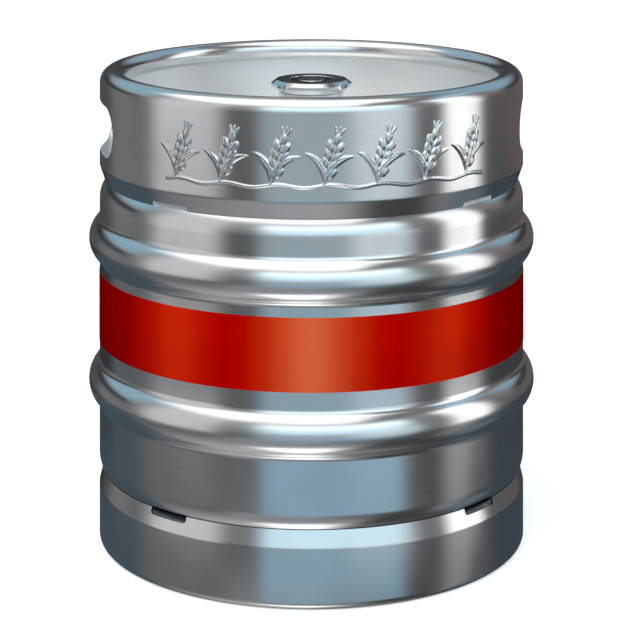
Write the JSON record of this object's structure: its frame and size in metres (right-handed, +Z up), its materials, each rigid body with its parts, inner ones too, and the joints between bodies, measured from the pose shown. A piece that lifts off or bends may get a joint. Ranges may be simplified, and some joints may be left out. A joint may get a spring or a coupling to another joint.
{
  "type": "beer keg",
  "caption": "Stainless steel beer keg with rolled handling chime and foot, hand holes, two rolling rings, a red painted band and a flat-top two-way valve on a removable spear.",
  "frame": {"origin": "middle of the plane that the foot stands on, on the keg's axis", "axes": "+Z up along the keg's axis, hand holes on +X and -X, front on -Y"},
  "size_m": [0.381, 0.381, 0.4],
  "materials": {
    "shell_steel": "satin, circumferential brushing",
    "chime_steel": "satin, circumferential brushing",
    "weld_steel": "pickled weld bead",
    "valve_steel": "fine turned, near polished",
    "tube_steel": "drawn tube",
    "spring_steel": "drawn spring wire",
    "seal_rubber": "matt black moulded rubber",
    "band_paint": "satin red lacquer"
  },
  "bodies": {
    "keg": {"upper_shell": "shell_steel", "lower_shell": "shell_steel", "girth_weld": "weld_steel", "top_chime": "chime_steel", "foot_chime": "chime_steel", "top_chime_weld": "weld_steel", "foot_chime_weld": "weld_steel", "neck": "valve_steel", "neck_weld": "weld_steel", "colour_band": "band_paint"},
    "spear": {"fitting_body": "valve_steel", "neck_seal": "seal_rubber", "spring_cage": "valve_steel", "cage_retaining_ring": "spring_steel", "gas_spring": "spring_steel"},
    "gas_valve": {"gas_seal": "seal_rubber", "seal_insert": "valve_steel", "valve_cup": "valve_steel", "stem_guide": "valve_steel", "down_tube": "tube_steel", "beer_spring": "spring_steel"},
    "beer_valve": {"centre_plug": "valve_steel"}
  },
  "joints": [
    {"name": "spear_lift", "type": "slide", "parent": "keg", "child": "spear", "axis": [0, 0, 1], "range_m": [0, 0.36]},
    {"name": "gas_valve_travel", "type": "slide", "parent": "spear", "child": "gas_valve", "axis": [0, 0, -1], "range_m": [0, 0.006], "stiffness_N_per_m": 6000, "springref_m": -0.01, "deforming": ["gas_spring"]},
    {"name": "beer_valve_travel", "type": "slide", "parent": "gas_valve", "child": "beer_valve", "axis": [0, 0, -1], "range_m": [0, 0.004], "stiffness_N_per_m": 1500, "springref_m": -0.008, "deforming": ["beer_spring"]}
  ]
}
